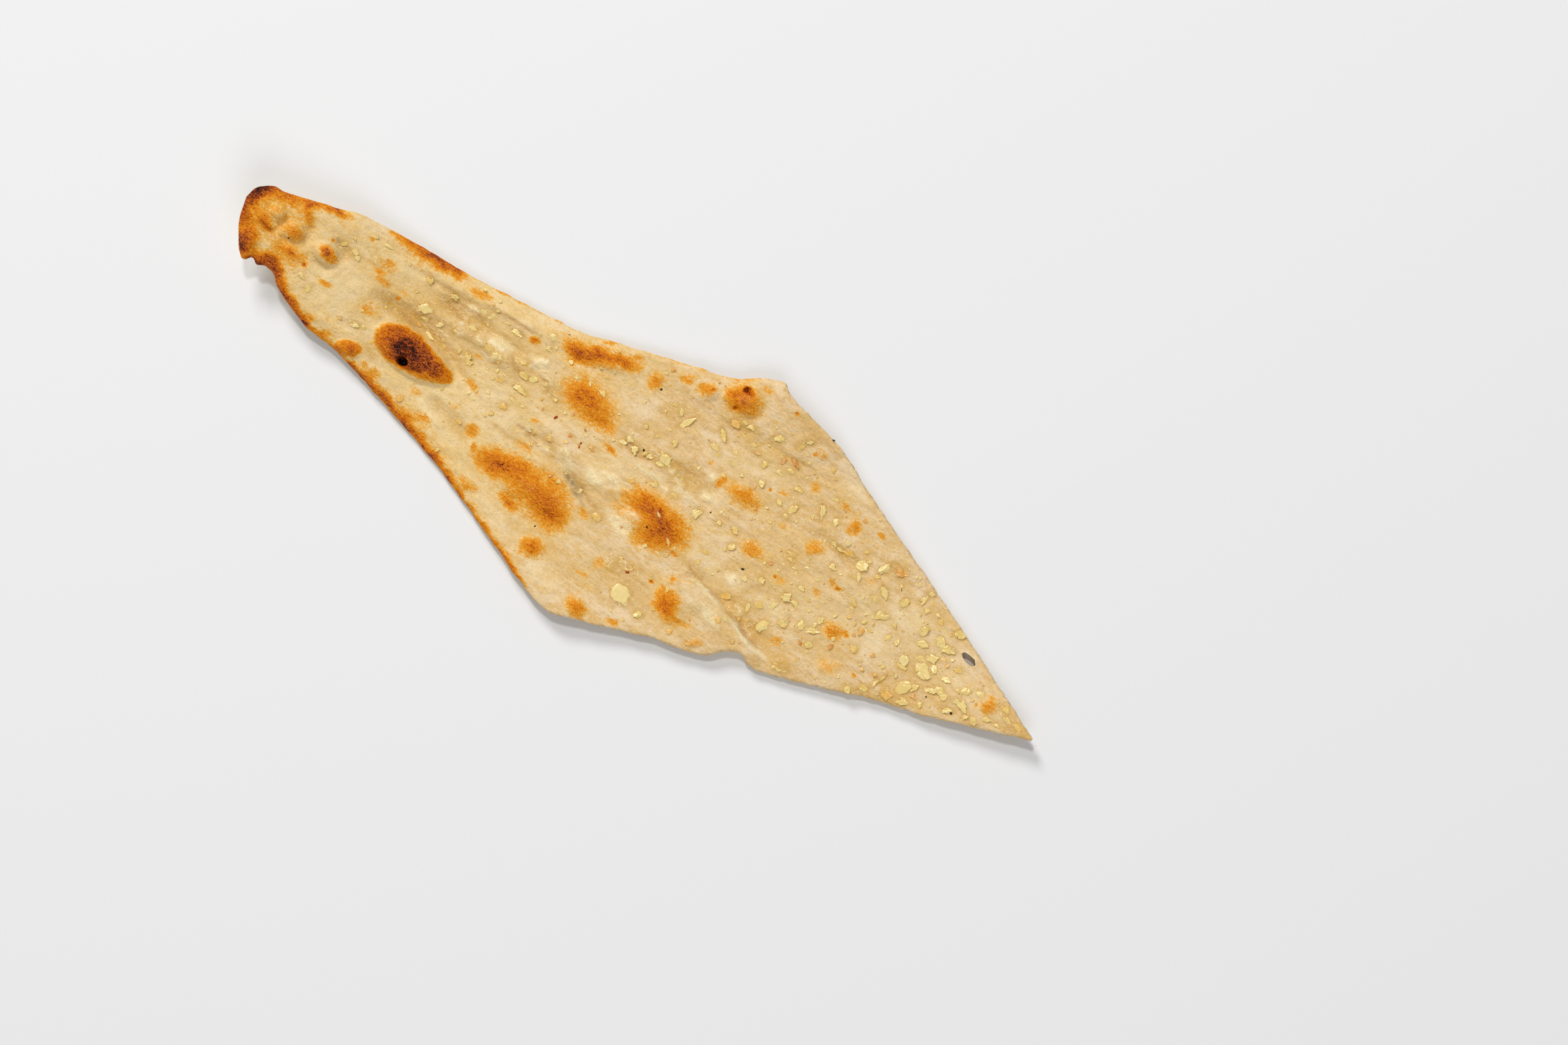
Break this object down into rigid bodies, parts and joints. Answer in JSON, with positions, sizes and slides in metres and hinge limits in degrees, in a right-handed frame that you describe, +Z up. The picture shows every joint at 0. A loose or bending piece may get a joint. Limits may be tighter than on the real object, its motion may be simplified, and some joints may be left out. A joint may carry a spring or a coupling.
{
  "type": "garlic naan",
  "caption": "Cut piece of thin baked flatbread with charred blisters, a browned crust on two sides, cut edges on the other two, and chopped garlic on top.",
  "frame": {"origin": "centre of the piece's footprint, on the surface it lies on", "axes": "+X from the charred narrow head to the cut point, +Y towards the upper baked edge, +Z up out of the garlic side"},
  "size_m": [0.28, 0.095, 0.0156],
  "materials": {
    "bread": "baked wheat flatbread, satin and buttered on top, browned in spots",
    "garlic": "chopped cooked garlic, moist and slightly translucent",
    "butter": "melted butter in a thin wet film"
  },
  "bodies": {
    "root": {"naan": "bread"}
  },
  "joints": []
}
